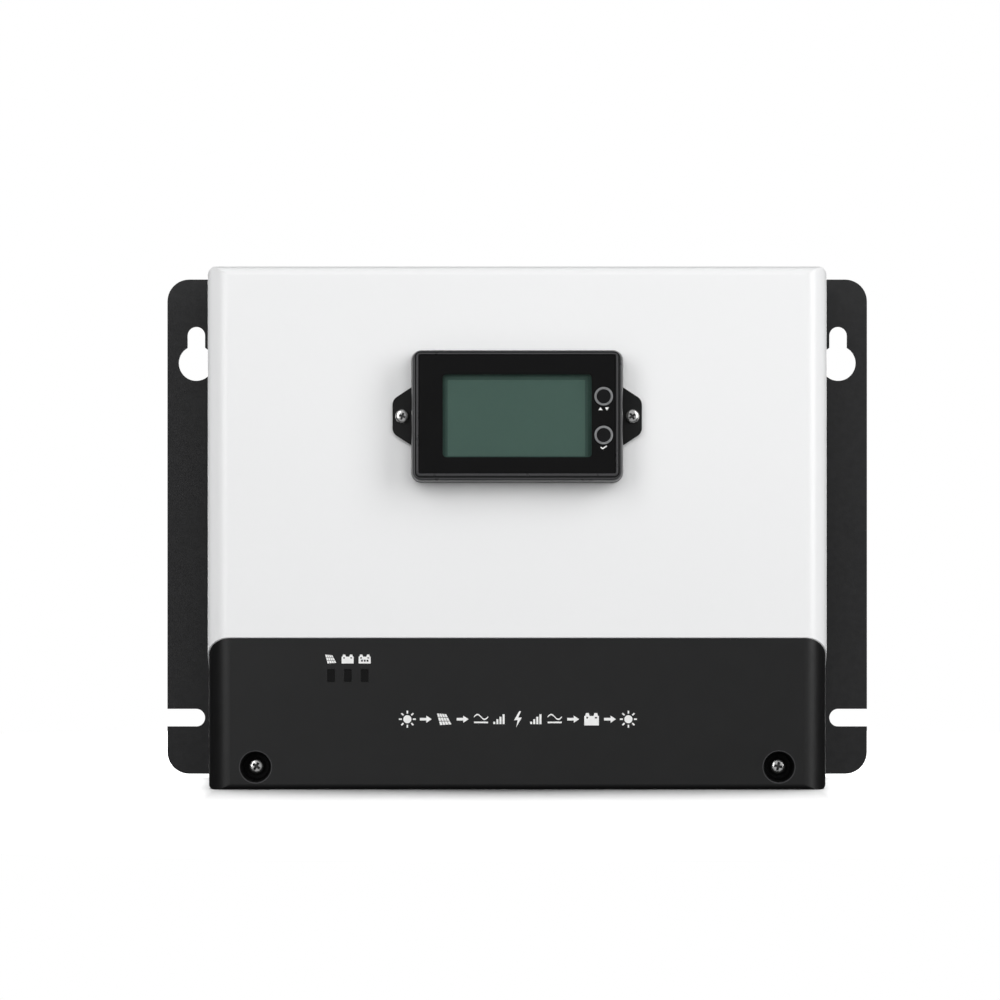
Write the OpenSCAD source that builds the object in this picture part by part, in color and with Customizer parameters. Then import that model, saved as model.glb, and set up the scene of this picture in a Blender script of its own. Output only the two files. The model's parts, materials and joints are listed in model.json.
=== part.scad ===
// Wall-mounted solar charge controller: finned heat sink, detachable terminal cover, screwed-on display.
// Frame: X to the right seen from the front, Y towards the wall, Z up.
// Origin: centre of the four wall screws, on the wall plane.

/* [Case] */
// Width of the case
body_w = 271.8; // [266:0.2:280]
// Height of the case
body_h = 228.9; // [224:0.1:234]
// Depth from the wall to the front face
body_d = 96; // [94:1:100]
// Wall thickness of the moulded shells
wall = 2.5; // [2:0.5:3]
// Radius of the upright front corners
corner_r = 10; // [8:0.5:11]
// Radius along the top edges
top_r = 4; // [3:0.5:5]
// Radius along the bottom edges
bottom_r = 2.5; // [2:0.5:3]
// Height of the terminal cover on the front face
seam_h = 66.5; // [62:0.1:68]
// Slope of the seam down the sides, in degrees
seam_angle = 40; // [36:1:41]

/* [Wall plate] */
// Width over both flanges
plate_w = 320.8; // [320:0.2:330]
// Height of the wall plate
plate_h = 226.7; // [222:0.1:228]
// Thickness of the wall plate
plate_t = 2; // [1.5:0.5:2.5]
// Corner radius of the wall plate
plate_r = 10; // [6:0.5:12]
// Distance between the wall screws across
hole_dx = 294.4; // [292:0.1:297]
// Distance between the wall screws up and down
hole_dz = 175.2; // [170:0.2:180]
// How far the case's centre sits below the middle of the wall screws
case_drop = 0.6; // [0:0.1:2]
// Width of the keyhole necks and of the open slots
slot_w = 8.1; // [6:0.1:9]
// Diameter of the keyhole's wide end
keyhole_d = 16.2; // [14:0.1:17]
// Drop from the neck to the wide end's centre
keyhole_drop = 12.6; // [11:0.1:13]

/* [Heat sink] */
// Height of the fins
fin_h = 24; // [20:1:24]
// Thickness of the heat sink's base
base_t = 5; // [4:0.5:6]
// Thickness of each fin
fin_t = 2; // [1.5:0.5:3]
// Number of fins between the rails
fin_count = 23; // [15:1:25]

/* [Display] */
// Width of the display housing at its foot
display_w = 92.6; // [90:0.2:94]
// Height of the display housing at its foot
display_h = 57.9; // [56:0.1:60]
// How far the display stands out of the case
display_d = 16; // [16:0.5:17]
// Height of the display's centre above the case's centre
display_z = 48.7; // [40:0.1:52]
// Width of the visible LCD window
window_w = 64.6; // [60:0.1:65]
// Height of the visible LCD window
window_h = 36; // [33:0.5:37]
// Distance of the buttons from the display's centre
button_x = 37.5; // [37.4:0.1:37.8]
// Distance between the two buttons
button_dz = 16.8; // [14:0.1:18]
// Distance of the display's screws from its centre
ear_screw_x = 50.4; // [50:0.1:51]

/* [Terminal cover] */
// Distance of the cover's screws from the middle
cover_screw_x = 114.4; // [105:0.1:115]
// Height of the cover's screws above the bottom edge
cover_screw_h = 10; // [10:0.5:12]
// Diameter of the recesses around the cover's screws
recess_d = 14; // [12:0.5:14]
// Depth of those recesses
recess_depth = 9; // [6:0.5:10]
// How far the cover's sides sit inside the shell's
cover_inset = 0.5; // [0.2:0.1:0.6]
// Clearance between the cover and what it slides past
fit_gap = 0.3; // [0.2:0.05:0.4]

/* [Fans] */
// Side of each square fan
fan_size = 50; // [50:1:50]
// Thickness of each fan
fan_t = 15; // [12:1:15]
// Distance of each fan from the middle
fan_x = 55; // [50:1:70]
// Number of blades on each fan
blade_count = 7; // [5:1:9]

/* [Power terminals] */
// Distance between power terminals
pole_pitch = 26; // [25:0.5:26]
// Middle of the power terminal block
block_x = 16; // [10:1:20]
// Side of each square wire entry
entry_w = 11; // [9:0.5:12]

/* [Hidden] */
$fn = 40;
TINY = 0.01;
POLES = 4;
FUSES = 3;
LEDS = 3;
SIDES = [-1, 1];

case_z = -case_drop;
z_bot = case_z - body_h / 2;
z_top = case_z + body_h / 2;
y_front = -body_d;
y_plate = -plate_t;
y_fins = y_plate - fin_h;                 // front of the fins, back of the base
y_base = y_fins - base_t;                 // front of the heat sink's base
inner_w = body_w - 2 * wall;
base_w = inner_w - 2 * fit_gap;
rail_w = 10;
rail_x = body_w / 2 - 1.5 - rail_w / 2;   // middle of each side rail
seam_z = z_bot + seam_h;
seam_gap = 0.3;
neck_z = hole_dz / 2;
display_mid = case_z + display_z;

panel_t = 2;
panel_top = z_bot + panel_t;
panel_front = y_front + 12;

board_t = 1.6;
board_back = y_base - 10.4;
board_front = board_back - board_t;
board_w = 248;
board_bot = z_bot + 16.5;
board_top = z_top - 24;
standoff_x = 118;
standoff_z = [board_top - 7, -2, board_bot + 7];

divider_t = 2;
divider_z = seam_z + 2;                   // underside of the divider
divider_front = y_front + wall + fit_gap;
lip_bot = seam_z - 9;

cover_screw_z = z_bot + cover_screw_h;
recess_floor = y_front + recess_depth;    // front of the recess floor
recess_back = recess_floor + 2.2;
cup_r = recess_d / 2 + 2;
post_front = recess_back + fit_gap;

fan_top = z_top - wall - fit_gap;
fan_y = y_front + wall + fan_size / 2 + 5;
fan_hole = 0.4 * fan_size;                // the corner holes, from each fan's axis
duct_r = fan_size / 2 - 1.5;
hub_r = 11;
pin_r = 1.5;

led_pitch = 7.35;
led_x = -74;
led_z = z_bot + 50;
led_w = 3.2;
led_h = 5.6;

block_w = POLES * pole_pitch;
block_front = y_front + 18;
block_bot = z_bot + 1;
block_top = z_bot + 37;
entry_y = block_front + 14.5;
clamp_z = z_bot + 13.5;

face_y = y_front - display_d;             // front of the display's rim
overlay_front = face_y + 0.8;
overlay_t = 0.8;
bezel_t = 3.5;
bezel_back = face_y + bezel_t;
housing_floor = y_front - 2;
lcd_front = overlay_front + overlay_t + 1.9;
display_board_front = y_front - 6.6;
button_r = 3.4;
button_travel = 0.8;
ring_r = 4.03;
ear_t = 3.2;
ear_reach = 8.1;                          // how far each ear stands out past the housing
ear_root_h = 33;                          // height of an ear's outline inside the housing
ear_tip_h = 14.6;                         // height of an ear's outline at its tip, before rounding

// ---------- shared shapes ----------

function seam_at(y) = seam_z - (y - y_front) * tan(seam_angle);

// A 2D outline in X and Z, extruded from y0 to y1.
module along_y(y0, y1) translate([0, y1, 0]) rotate([90, 0, 0]) linear_extrude(y1 - y0) children();

// A 2D outline in Y and Z, extruded from x0 to x1.
module along_x(x0, x1) translate([x0, 0, 0]) rotate([90, 0, 90]) linear_extrude(x1 - x0) children();

module rod_x(x0, x1, y, z, r) translate([x0, y, z]) rotate([0, 90, 0]) cylinder(h = x1 - x0, r = r);
module rod_y(y0, y1, x, z, r) translate([x, y1, z]) rotate([90, 0, 0]) cylinder(h = y1 - y0, r = r);
module rod_z(z0, z1, x, y, r) translate([x, y, z0]) cylinder(h = z1 - z0, r = r);
module hex_y(y0, y1, x, z, across) translate([x, y1, z]) rotate([90, 0, 0])
    cylinder(h = y1 - y0, r = across / 2 / cos(30), $fn = 6);

// A box from its lowest to its highest corner.
module block(low, high) translate(low) cube(high - low);

// A box from its ranges in X, Y and Z.
module span(x, y, z) block([x[0], y[0], z[0]], [x[1], y[1], z[1]]);

// The same shape on the right and mirrored on the left.
module both_sides() for (s = [0, 1]) mirror([s, 0, 0]) children();

// A range of a given width about its middle.
function about(middle, width) = [middle - width / 2, middle + width / 2];

module rounded_rect(w, h, r) offset(r = r) square([w - 2 * r, h - 2 * r], center = true);

// A cross recess cut into a screw head whose face is at y.
module cross_recess(y, x, z, size, depth) {
    for (turn = [0, 90])
        translate([x, y, z]) rotate([0, turn, 0])
            translate([-size / 2, -1, -size / 7]) cube([size, depth + 1, size / 3.5]);
}

// A pan-head screw along +Y: head_y is where the head meets the part.
module pan_screw_y(x, z, head_y, head_r, head_h, r, length) {
    difference() {
        union() {
            rod_y(head_y - head_h * 0.55, head_y, x, z, head_r);
            translate([x, head_y - head_h * 0.55, z]) rotate([90, 0, 0])
                cylinder(h = head_h * 0.45, r1 = head_r, r2 = head_r * 0.72);
            rod_y(head_y, head_y + length, x, z, r);
        }
        cross_recess(head_y - head_h, x, z, head_r * 1.1, head_h * 0.7);
    }
}

// A tube of radius r through the points, with flat ends.
function unit(v) = v / norm(v);
function tangent(p, i) = unit(p[min(i + 1, len(p) - 1)] - p[max(i - 1, 0)]);
function ring(p, i, r, n) =
    let (t = tangent(p, i), side = unit(cross(t, [0.31, 0.17, 0.93])), up = cross(side, t))
    [for (k = [0 : n - 1]) p[i] + r * (cos(360 * k / n) * side + sin(360 * k / n) * up)];
module tube(p, r, n = 8) {
    last = (len(p) - 1) * n;
    polyhedron(
        points = [for (i = [0 : len(p) - 1]) each ring(p, i, r, n)],
        faces = concat(
            [[for (k = [n - 1 : -1 : 0]) k]],
            [for (i = [0 : len(p) - 2], k = [0 : n - 1], half = [0, 1])
                let (a = i * n + k, b = i * n + (k + 1) % n)
                half == 0 ? [a, b, b + n] : [a, b + n, a + n]],
            [[for (k = [0 : n - 1]) last + k]]
        )
    );
}

// A point at share t of a smooth curve from a to d, led by b and c.
function bezier(a, b, c, d, t) =
    pow(1 - t, 3) * a + 3 * pow(1 - t, 2) * t * b + 3 * (1 - t) * t * t * c + t * t * t * d;
function curve(a, b, c, d, steps = 14) = [for (i = [0 : steps]) bezier(a, b, c, d, i / steps)];

// ---------- case ----------

// Plan of a case part of a given width, inset by a distance: round front corners, square at the back.
module plan_outline(width, inset, y_back) {
    w = width - 2 * inset;
    r = corner_r - inset;
    y0 = y_front + inset;
    translate([-w / 2 + r, y0]) square([w - 2 * r, y_back - y0]);
    translate([-w / 2, y0 + r]) square([w, y_back - y0 - r]);
    for (s = SIDES) translate([s * (w / 2 - r), y0 + r]) circle(r);
}

// Front view of the case: small radii at the top corners, smaller ones at the bottom.
module front_outline(width) {
    translate([-width / 2, z_bot + bottom_r]) square([width, body_h - top_r - bottom_r]);
    translate([-width / 2 + top_r, 0]) square([width - 2 * top_r, z_top]);
    translate([-width / 2 + bottom_r, z_bot]) square([width - 2 * bottom_r, -z_bot]);
    for (s = SIDES) {
        translate([s * (width / 2 - top_r), z_top - top_r]) circle(top_r);
        translate([s * (width / 2 - bottom_r), z_bot + bottom_r]) circle(bottom_r);
    }
}

// Side view of the case, in Y and Z: the same radii along the front edges.
module side_outline() {
    translate([y_front, z_bot + bottom_r]) square([body_d, body_h - top_r - bottom_r]);
    translate([y_front + top_r, 0]) square([body_d - top_r, z_top]);
    translate([y_front + bottom_r, z_bot]) square([body_d - bottom_r, -z_bot]);
    translate([y_front + top_r, z_top - top_r]) circle(top_r);
    translate([y_front + bottom_r, z_bot + bottom_r]) circle(bottom_r);
}

module case_block(width, y_back) {
    intersection() {
        translate([0, 0, z_bot]) linear_extrude(body_h) plan_outline(width, 0, y_back);
        along_y(y_front - 1, y_back + 1) front_outline(width);
        along_x(-body_w, body_w) side_outline();
    }
}

// Everything below the seam, which slopes down towards the wall. A positive drop lowers it.
module below_seam(drop) {
    y0 = y_front - 20;
    along_x(-body_w, body_w)
        polygon([[y0, seam_at(y0) - drop], [20, seam_at(20) - drop], [20, z_bot - 120], [y0, z_bot - 120]]);
}

vent_count = 9;
vent_pitch = 7;
vent_h = 3;

// The right side's row of ventilation slots in the front shell.
module side_vents() for (i = [0 : vent_count - 1])
    span(
        about(body_w / 2, 2 * wall + 2),
        [y_front + 20, y_base - 6],
        about(7.5 + (i - vent_count / 2) * vent_pitch, vent_h)
    );

// The finger guard over one fan: ring slots with four spokes left between them.
module fan_guard_cut(x) {
    slot = 2.4;
    rib = 2.1;
    translate([x, fan_y, z_top - wall - 1]) difference() {
        for (i = [0 : 4]) {
            r = 3.2 + i * (slot + rib);
            difference() {
                cylinder(h = wall + 2, r = r + slot);
                translate([0, 0, -1]) cylinder(h = wall + 4, r = r);
            }
        }
        for (turn = [45, 135])
            rotate([0, 0, turn]) translate([-fan_size / 2, -1.2, -1]) cube([fan_size, 2.4, wall + 4]);
    }
}

shell_screw_z = [85, 0, -85];
shell_screw_x = 90;
shell_screw_y = (y_base + y_fins) / 2;

// The seat of a countersunk screw, cut along +Z from its face.
module countersink() {
    translate([0, 0, -TINY]) cylinder(h = 1.5, r1 = 3.1, r2 = 1.7);
    cylinder(h = wall + 1, r = 1.7);
}

// Puts a shape made along +Z at each screw of the right side, pointing inwards.
module at_side_screws() for (z = shell_screw_z)
    translate([body_w / 2, shell_screw_y, z]) rotate([0, -90, 0]) children();

module front_shell() color("whitesmoke") difference() {
    case_block(body_w, y_fins);
    translate([0, 0, z_bot - 1]) linear_extrude(body_h + 1 - wall) plan_outline(body_w, wall, 0);
    below_seam(-seam_gap / 2);
    both_sides() {
        side_vents();
        fan_guard_cut(fan_x);
        at_side_screws() countersink();
        translate([shell_screw_x, shell_screw_y, z_top]) rotate([180, 0, 0]) countersink();
        rod_y(y_front - 1, 0, ear_screw_x, display_mid, 1.65);
        for (dx = SIDES, dy = SIDES)
            rod_z(0, body_h, fan_x + dx * fan_hole, fan_y + dy * fan_hole, 1.6);
    }
    span([-12, 12], about(y_front + wall / 2, wall + 2), about(display_mid - 11, 10));
}

// A countersunk screw along +Z, with a cross in its head.
module countersunk(head_r, r, length) {
    difference() {
        union() {
            cylinder(h = 1.4, r1 = head_r, r2 = r);
            cylinder(h = length, r = r);
        }
        for (turn = [0, 90]) rotate([0, 0, turn])
            translate([-head_r / 2, -head_r / 8, -1]) cube([head_r, head_r / 4, 1.9]);
    }
}

module shell_screws() color("silver") both_sides() {
    at_side_screws() translate([0, 0, 0.1]) countersunk(2.9, 1.4, 10);
    translate([shell_screw_x, shell_screw_y, z_top - 0.1]) rotate([180, 0, 0]) countersunk(2.9, 1.4, 10);
}

// ---------- wall plate and heat sink ----------

plate_screw_z = [96, 32, -32, -96];
vent_columns = 9;
vent_spacing = 24;
fin_pitch = 2 * (rail_x - rail_w / 2) / (fin_count + 1);
groove_y = [-8, -13, -18];

// The right flange's keyhole and its slot, which is open at the outer edge.
module wall_screw_holes() {
    x = hole_dx / 2;
    rod_y(y_plate - 1, 1, x, neck_z - keyhole_drop, keyhole_d / 2);
    rod_y(y_plate - 1, 1, x, neck_z, slot_w / 2);
    span(about(x, slot_w), [y_plate - 1, 1], [neck_z - keyhole_drop, neck_z]);
    rod_y(y_plate - 1, 1, x, -neck_z, slot_w / 2);
    span([x, plate_w], [y_plate - 1, 1], about(-neck_z, slot_w));
}

module mounting_plate() color("#2a2a2c") difference() {
    along_y(y_plate, 0) rounded_rect(plate_w, plate_h, plate_r);
    both_sides() {
        wall_screw_holes();
        for (z = plate_screw_z) {
            rod_y(y_plate - 1, 1, rail_x, z, 2.1);
            translate([rail_x, TINY, z]) rotate([90, 0, 0]) cylinder(h = 1.9, r1 = 4.1, r2 = 2.1);
        }
        for (i = [1 : (vent_columns - 1) / 2], z = [-50, 50])
            span(about(i * vent_spacing, 8), [y_plate - 1, 1], about(z, 72));
    }
}

module plate_screws() color("silver") both_sides() for (z = plate_screw_z)
    difference() {
        union() {
            translate([rail_x, -0.1, z]) rotate([90, 0, 0]) cylinder(h = 1.7, r1 = 3.9, r2 = 2);
            rod_y(-14, -0.1, rail_x, z, 1.95);
        }
        for (turn = [0, 90])
            translate([rail_x, 0, z]) rotate([0, turn, 0])
                translate([-2.2, -1.1, -0.5]) cube([4.4, 2, 1]);
    }

module heat_sink() color("#1c1c1e") difference() {
    union() {
        span([-base_w / 2, base_w / 2], [y_base, y_fins], [panel_top, z_top - wall - fit_gap]);
        both_sides() span(about(rail_x, rail_w), [y_fins - 1, y_plate], [z_bot, z_top - 0.5]);
    }
    both_sides() {
        // The rails stop short of the shells and of the bottom panel.
        span([base_w / 2, body_w], [y_base - 1, y_fins + 0.2], [z_bot - 1, z_top]);
        for (z = plate_screw_z) rod_y(-16, 0, rail_x, z, 2);
        at_side_screws() cylinder(h = 14, r = 1.45);
        rod_z(z_top - 16, z_top, shell_screw_x, shell_screw_y, 1.45);
        rod_z(z_bot, panel_top + 9, shell_screw_x, shell_screw_y, 1.45);
        // Grooves along the outer faces of the rails.
        for (y = groove_y)
            span([body_w / 2 - 2.3, body_w / 2], about(y, 2), [z_bot - 1, z_top]);
    }
    span([-body_w, body_w], [y_base - 1, y_fins + 0.2], [z_top - wall - fit_gap, z_top + 1]);
    span([-body_w, body_w], [y_base - 1, y_fins + 0.2], [z_bot - 1, panel_top]);
}

// The fins are brazed onto the base one by one.
module heat_sink_fins() color("#1c1c1e") for (i = [0 : fin_count - 1])
    span(
        about((i - (fin_count - 1) / 2) * fin_pitch, fin_t),
        [y_fins, y_plate - 0.3],
        [z_bot, z_top - 0.5]
    );

// ---------- bottom of the case ----------

comm_x = -100;
sensor_x = -79;
relay_x = -60;
earth_x = 100;
earth_z = z_bot + 30;
louvre_x = 118;
tab_x = 106;                              // the divider's screw tabs
tab_t = 3;
lead_gap_x = 60;                          // the divider's gaps for leads

// An opening through the bottom panel.
module panel_cut(x, y) span(x, y, [z_bot - 1, panel_top + 1]);

module bottom_panel() color("#242426") difference() {
    span([-base_w / 2, base_w / 2], [panel_front, y_fins], [z_bot, panel_top]);
    panel_cut(about(block_x, block_w + 1.2), [block_front - 0.6, board_front + 0.6]);
    panel_cut(about(comm_x, 17.2), [board_front - 14.6, board_front + 0.6]);
    panel_cut(about(sensor_x, 12.2), [board_front - 12.6, board_front + 0.6]);
    panel_cut(about(relay_x, 17.2), [board_front - 12.6, board_front + 0.6]);
    both_sides() {
        rod_z(z_bot - 1, panel_top + 1, shell_screw_x, shell_screw_y, 1.7);
        translate([shell_screw_x, shell_screw_y, z_bot - TINY]) cylinder(h = 1.5, r1 = 3.1, r2 = 1.7);
        // Small louvres on each side of the terminals.
        for (i = [0 : 3]) panel_cut(about(louvre_x, 10), about(y_base - 6.5 - i * 6, 3));
    }
}

module bottom_panel_screws() color("silver") both_sides()
    translate([shell_screw_x, shell_screw_y, z_bot + 0.1]) countersunk(2.9, 1.4, 9);

// The partition between the electronics and the wiring bay, with a lip behind the cover's top edge.
module bay_divider() color("#2f2f31") difference() {
    union() {
        deck_z = [divider_z, divider_z + divider_t];
        front_x = [-inner_w / 2 + 8, inner_w / 2 - 8];
        span([-inner_w / 2 + 1, inner_w / 2 - 1], [divider_front + 6, board_front - tab_t], deck_z);
        span(front_x, [divider_front, divider_front + 6 + TINY], deck_z);
        span(front_x, [divider_front, divider_front + 1.8], [lip_bot, divider_z + TINY]);
        both_sides() {
            span(about(tab_x, 14), [board_front - tab_t, board_front], [divider_z, divider_z + 14]);
            span(about(tab_x, 14), [board_front - tab_t - 4, board_front], deck_z);
        }
    }
    both_sides() {
        rod_y(board_front - 5, board_front + 1, tab_x, divider_z + 8, 1.7);
        span(about(lead_gap_x, 18), [board_front - 8, board_front], about(divider_z + 1, divider_t + 2));
    }
}

module divider_screws() color("silver") both_sides()
    pan_screw_y(tab_x, divider_z + 8, board_front - tab_t, 2.8, 2, 1.5, tab_t + board_t + 3);

module cover_posts() color("#b8963c") for (s = SIDES)
    difference() {
        hex_y(post_front, y_base, s * cover_screw_x, cover_screw_z, 8);
        rod_y(post_front - 1, post_front + 16, s * cover_screw_x, cover_screw_z, 2.05);
    }

// ---------- main board ----------

module main_board() color("#1d5a34") difference() {
    block([-board_w / 2, board_front, board_bot], [board_w / 2, board_back, board_top]);
    for (s = SIDES) {
        for (z = standoff_z) rod_y(board_front - 1, board_back + 1, s * standoff_x, z, 1.7);
        rod_y(board_front - 1, board_back + 1, s * tab_x, divider_z + 8, 1.7);
    }
    rod_y(board_front - 1, board_back + 1, earth_x, earth_z, 5.5);
}

module board_standoffs() color("#b8963c") for (s = SIDES, z = standoff_z)
    difference() {
        hex_y(board_back, y_base, s * standoff_x, z, 6);
        rod_y(board_back - 1, board_back + 8, s * standoff_x, z, 1.55);
    }

module board_screws() color("silver") for (s = SIDES, z = standoff_z)
    pan_screw_y(s * standoff_x, z, board_front, 2.8, 2, 1.5, board_t + 5);

mosfet_columns = [-96, -70, 70, 96];
mosfet_rows = [60, 38, 16];

// Each transistor lies on its pad on the heat sink, with three legs up to the board.
module mosfets() color("#161616") for (x = mosfet_columns, z = mosfet_rows) {
    block([x - 5.1, y_base - 4.9, z - 7.6], [x + 5.1, y_base - 0.4, z + 1.4]);
    block([x - 5.1, y_base - 1.7, z + 1.4 - TINY], [x + 5.1, y_base - 0.4, z + 7.6]);
    for (leg = [-2.54, 0, 2.54]) {
        block([x + leg - 0.5, y_base - 2.7, z - 12], [x + leg + 0.5, y_base - 2, z - 7.6 + TINY]);
        block([x + leg - 0.5, board_back, z - 12], [x + leg + 0.5, y_base - 2, z - 11.2]);
    }
}

module thermal_pads() color("lightslategray") for (x = mosfet_columns)
    block([x - 7, y_base - 0.4, mosfet_rows[2] - 10], [x + 7, y_base, mosfet_rows[0] + 10]);

coil_x = 50;
coil_z = 27;
coil_r = 19;
core_r = 9.2;
coil_y = board_front - core_r - 3.4;

module inductor_cores() color("#8a8f3c") for (s = SIDES)
    translate([s * coil_x, coil_y, coil_z]) rotate([90, 0, 0])
        rotate_extrude() translate([coil_r, 0]) circle(core_r);

module inductor_windings() color("#b5642a") for (s = SIDES)
    translate([s * coil_x, coil_y, coil_z]) rotate([90, 0, 0]) rotate([0, 0, -75])
        rotate_extrude(angle = 330) translate([coil_r, 0]) difference() {
            circle(core_r + 3);
            circle(core_r + 0.15);
        }

// An electrolytic capacitor standing on the board, with its rolled neck.
module capacitor(x, z, r, h) {
    difference() {
        rod_y(board_front - h, board_front, x, z, r);
        translate([x, board_front - h + 4, z]) rotate([90, 0, 0]) rotate_extrude()
            translate([r + 0.3, 0]) circle(0.9);
    }
}

module pv_capacitors() color("#23262e")
    for (x = [-98, -98 + 19, 79, 98], z = [-22, -2]) capacitor(x, z, 9, 36);

module battery_capacitors() color("#30343c")
    for (i = [0 : 4]) capacitor(-24 + i * 12, -26, 5.5, 22);

module bus_bars() color("#b87333") for (i = [0 : POLES - 1]) {
    x = block_x + (i - (POLES - 1) / 2) * pole_pitch;
    block([x - 6, board_front - 1.6, block_top + 1], [x + 6, board_front, divider_z - 6]);
}

module blade_fuses() color("#2f7a3c") for (i = [0 : FUSES - 1]) {
    x = 82 + i * 8;
    block([x - 2, board_front - 14, board_bot + 30], [x + 2, board_front - 5, board_bot + 49]);
    block([x - 1.5, board_front - 5 - TINY, board_bot + 31], [x + 1.5, board_front, board_bot + 48]);
}

module current_shunt() color("#9c8f84") difference() {
    block([-50, board_front - 7, divider_z + 12], [-26, board_front, divider_z + 15]);
    block([-47, board_front - 5, divider_z + 11], [-29, board_front + 1, divider_z + 16]);
}

module supply_transformer() color("#c9b23a") {
    for (z = [board_top - 25, board_top - 9])
        span([-11, 11], [board_front - 17, board_front], about(z, 6));
    span([-7, 7], [board_front - 15, board_front - 2], about(board_top - 17, 10 + 2 * TINY));
}

// The controller's own small board stands on edge between the two inductors.
module control_board() color("#1f4f6b") {
    span(about(0, 1.6), [board_front - 24, board_front - 4], [-12, 34]);
    for (z = [-6, 8, 22])
        span(about(0, 4.4), [board_front - 4 - TINY, board_front], about(z, 8));
}

// ---------- connectors in the wiring bay ----------

function pole_x(i) = block_x + (i - (POLES - 1) / 2) * pole_pitch;
clamp_w = entry_w + 5;
clamp_h = 12;
clamp_y0 = entry_y - entry_w / 2 - 4;
clamp_y1 = entry_y + entry_w / 2 + 3;
pocket_gap = 0.2;                         // around each clamp in its pocket
pocket_y = [clamp_y0 - pocket_gap, clamp_y1 + pocket_gap];
pocket_z = [clamp_z - clamp_h / 2 - pocket_gap, clamp_z + clamp_h / 2 + pocket_gap];
entry_span = about(entry_y, entry_w);
face_top = block_bot + 24;
face_back = block_front + 3;

// The rear housing reaches over the clamps, and has a ledge under their backs.
module terminal_block() color("#1a1a1a") {
    along_x(block_x - block_w / 2, block_x + block_w / 2)
        polygon([
            [face_back, pocket_z[1]],
            [face_back, block_top],
            [board_front, block_top],
            [board_front, block_bot],
            [entry_span[1], block_bot],
            [entry_span[1], pocket_z[0]],
            [pocket_y[1], pocket_z[0]],
            [pocket_y[1], pocket_z[1]]
        ]);
    for (i = [0 : POLES])
        span(
            about(block_x + (i - POLES / 2) * (pole_pitch - 2 / POLES), 2),
            [block_front, face_back + TINY],
            [face_top, block_top]
        );
}

// The part of partition i within a pole's free width, kept inside the block.
function partition_x(i, free_w) =
    let (x = block_x + (i - POLES / 2) * pole_pitch, half = (pole_pitch - free_w) / 2)
    [max(x - half, block_x - block_w / 2), min(x + half, block_x + block_w / 2)];

// Partitions between the poles: slim beside the clamps, and wide under them around the wire entries.
module terminal_partitions() color("#1f1f1f") for (i = [0 : POLES]) {
    span(partition_x(i, clamp_w + 2 * pocket_gap), pocket_y, pocket_z);
    span(partition_x(i, entry_w), entry_span, [block_bot, pocket_z[0] + TINY]);
}

// The front carries the screw holes, with a ledge under the clamps' fronts.
module terminal_face() color("#161616") difference() {
    along_x(block_x - block_w / 2, block_x + block_w / 2)
        polygon([
            [block_front, block_bot + 2],
            [block_front, face_top],
            [face_back, face_top],
            [face_back, pocket_z[1]],
            [pocket_y[0], pocket_z[1]],
            [pocket_y[0], pocket_z[0]],
            [entry_span[0], pocket_z[0]],
            [entry_span[0], block_bot],
            [block_front + 2, block_bot]
        ]);
    for (i = [0 : POLES - 1]) rod_y(block_front - 1, clamp_y0, pole_x(i), clamp_z, 4.8);
}

module terminal_clamps() color("#c8a84b") for (i = [0 : POLES - 1]) {
    x = pole_x(i);
    difference() {
        span(about(x, clamp_w), [clamp_y0, clamp_y1], about(clamp_z, clamp_h));
        span(about(x, entry_w), about(entry_y, entry_w), about(clamp_z, clamp_h + 2));
        rod_y(clamp_y0 - 1, entry_y - entry_w / 2 + 1, x, clamp_z, 3.05);
    }
}

module terminal_screws() color("silver") for (i = [0 : POLES - 1])
    pan_screw_y(pole_x(i), clamp_z, clamp_y0 - 0.3, 4.3, 3.2, 3, 3.9);

// A modular socket that opens downwards.
module comm_port() color("#9a9a9c") difference() {
    block([comm_x - 8, board_front - 14, z_bot + 0.6], [comm_x + 8, board_front, z_bot + 18]);
    block([comm_x - 6, board_front - 12, z_bot], [comm_x + 6, board_front - 4.5, z_bot + 13]);
    block([comm_x - 3, board_front - 4.6, z_bot], [comm_x + 3, board_front - 2.6, z_bot + 10]);
}

// A screw connector with its wire entries below and its screws in front.
module screw_connector(x, ways) {
    w = ways * 5.08 + 1;
    difference() {
        block([x - w / 2, board_front - 12, z_bot + 0.6], [x + w / 2, board_front, z_bot + 19]);
        for (i = [0 : ways - 1]) {
            cx = x + (i - (ways - 1) / 2) * 5.08;
            block([cx - 1.6, board_front - 8, z_bot], [cx + 1.6, board_front - 4.6, z_bot + 8]);
            block([cx - 1.7, board_front - 13, z_bot + 6], [cx + 1.7, board_front - 9, z_bot + 9.4]);
        }
        block([x - w / 2 - 1, board_front - 13, z_bot + 14], [x + w / 2 + 1, board_front - 8, z_bot + 20]);
    }
}

module sensor_connector() color("#2c8a45") screw_connector(sensor_x, 2);
module relay_connector() color("#2c8a45") screw_connector(relay_x, 3);

module earth_terminal() color("#c8a84b") {
    hex_y(board_front - 2, y_base, earth_x, earth_z, 8);
    pan_screw_y(earth_x, earth_z, board_front - 2, 4.5, 3, 2.5, TINY);
    difference() {
        rod_y(board_front - 2 - TINY, board_front - 1, earth_x, earth_z, 6);
        rod_y(board_front - 4, board_front, earth_x, earth_z, 4);
    }
}

function led_at(i) = led_x + (i - (LEDS - 1) / 2) * led_pitch;
led_board_y = y_front + 10;

module led_board() color("#1d5a34") difference() {
    block([led_x - 14, led_board_y, led_z - 8], [led_x + 14, led_board_y + 1.6, divider_z]);
    for (s = SIDES) rod_y(led_board_y - 1, led_board_y + 3, led_x + s * 11, divider_z - 5, 1.2);
}

module indicator_leds() color("#d9dccf") for (i = [0 : LEDS - 1]) {
    block([led_at(i) - 1.5, led_board_y - 1.4, led_z - 2], [led_at(i) + 1.5, led_board_y, led_z + 2]);
    rod_y(led_board_y - 1.9, led_board_y - 1.4 + TINY, led_at(i), led_z, 1.1);
}

// ---------- fans ----------

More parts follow.
